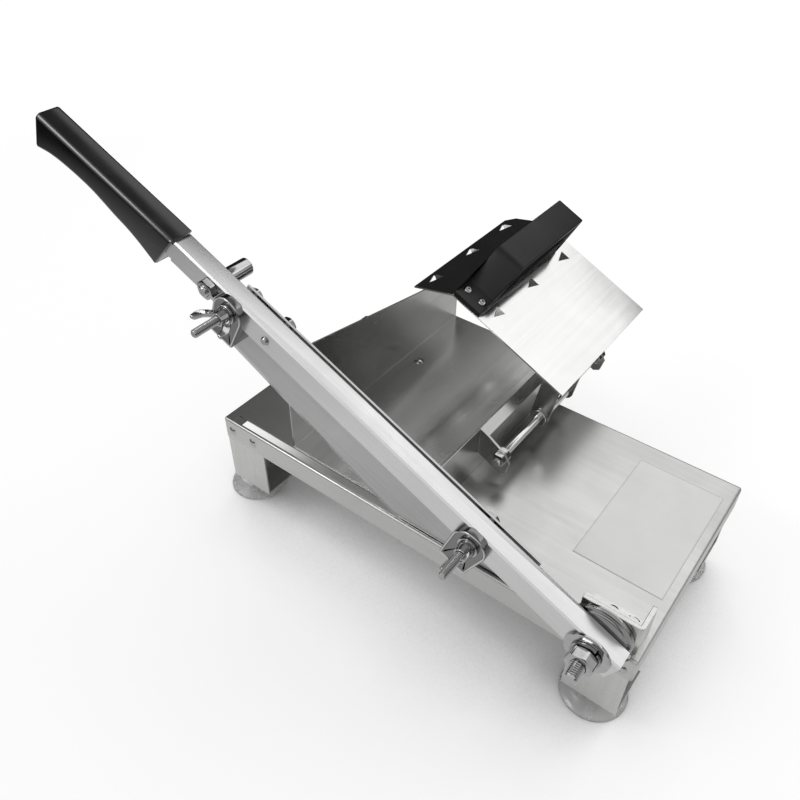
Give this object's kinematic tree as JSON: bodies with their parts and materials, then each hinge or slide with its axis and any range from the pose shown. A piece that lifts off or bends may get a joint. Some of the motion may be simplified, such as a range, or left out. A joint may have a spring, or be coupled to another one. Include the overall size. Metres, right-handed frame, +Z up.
{
  "type": "frozen meat slicer",
  "caption": "Hand lever slicer for frozen meat: a blade under a hinged lever comes down through a slot in a folded tray beside a trough with a sliding, tilting pusher, on suction cups.",
  "frame": {"origin": "on the bench, under the middle of the machine's overall box with the lever raised as in the picture", "axes": "+X runs right along the tray's long side, from the grip to the lever's hinge, +Y runs back, from the lever across the tray, +Z is up"},
  "size_m": [0.479, 0.314, 0.2999],
  "materials": {
    "stainless_sheet": "brushed stainless sheet",
    "label_film": "plain satin film",
    "clear_cup": "clear soft plastic, glossy",
    "fastener_steel": "bright stainless fasteners",
    "lever_alloy": "matt brushed bar",
    "black_grip": "moulded, satin gloss",
    "blade_steel": "ground flat",
    "clamp_alloy": "polished casting",
    "rod_steel": "polished round bar",
    "black_handle": "moulded strap, satin"
  },
  "bodies": {
    "base": {"base_tray": "stainless_sheet", "blank_label": "label_film", "bracket_nut": "fastener_steel", "bracket_screw": "fastener_steel", "cup_nuts": "fastener_steel", "cup_studs": "fastener_steel", "foot_nuts": "fastener_steel", "foot_screws": "fastener_steel", "guide_rod": "rod_steel", "leg_front_left": "stainless_sheet", "leg_front_right": "stainless_sheet", "leg_rear_left": "stainless_sheet", "leg_rear_right": "stainless_sheet", "leg_rivets": "fastener_steel", "meat_trough": "stainless_sheet", "pivot_angle": "stainless_sheet", "pivot_bolt": "fastener_steel", "pivot_bracket": "stainless_sheet", "pivot_nut": "fastener_steel", "pivot_spacers": "fastener_steel", "pivot_spring_washer": "fastener_steel", "pivot_washer_front": "fastener_steel", "rod_nuts": "fastener_steel", "suction_cup_front_left": "clear_cup", "suction_cup_front_right": "clear_cup", "suction_cup_rear_left": "clear_cup", "suction_cup_rear_right": "clear_cup", "trough_rivets": "fastener_steel"},
    "lever": {"lever_bar": "lever_alloy", "handle_grip": "black_grip", "stop_pin": "fastener_steel", "stop_nut": "fastener_steel", "blade": "blade_steel", "blade_spacers": "fastener_steel", "wing_bolts": "fastener_steel", "blade_screw": "fastener_steel", "clamp_block_far": "clamp_alloy", "clamp_block_near": "clamp_alloy", "clamp_washers": "fastener_steel"},
    "far_wing_nut": {"wing_nut_far": "fastener_steel"},
    "near_wing_nut": {"wing_nut_near": "fastener_steel"},
    "slide": {"slide_bush": "rod_steel"},
    "pusher": {"pusher_plate": "stainless_sheet", "pusher_cheek_front": "stainless_sheet", "pusher_cheek_rear": "stainless_sheet", "pusher_handle": "black_handle", "handle_screws": "fastener_steel"}
  },
  "joints": [
    {"name": "lever_hinge", "type": "hinge", "parent": "base", "child": "lever", "pos_m": [0.213, -0.11775, 0.0897], "axis": [0, 1, 0], "range_deg": [-24.85, 55]},
    {"name": "far_wing_nut_turn", "type": "hinge", "parent": "lever", "child": "far_wing_nut", "pos_m": [-0.06082, -0.1308, 0.21227], "axis": [0, -1, 0], "range_deg": [0, 720]},
    {"name": "near_wing_nut_turn", "type": "hinge", "parent": "lever", "child": "near_wing_nut", "pos_m": [0.12951, -0.1308, 0.12593], "axis": [0, -1, 0], "range_deg": [0, 720]},
    {"name": "pusher_slide", "type": "slide", "parent": "base", "child": "slide", "axis": [0, 1, 0], "range_m": [-0.045, 0.045]},
    {"name": "pusher_hinge", "type": "hinge", "parent": "slide", "child": "pusher", "pos_m": [0.09551, 0.04, 0.1045], "axis": [0, 1, 0], "range_deg": [-22, 95]}
  ]
}
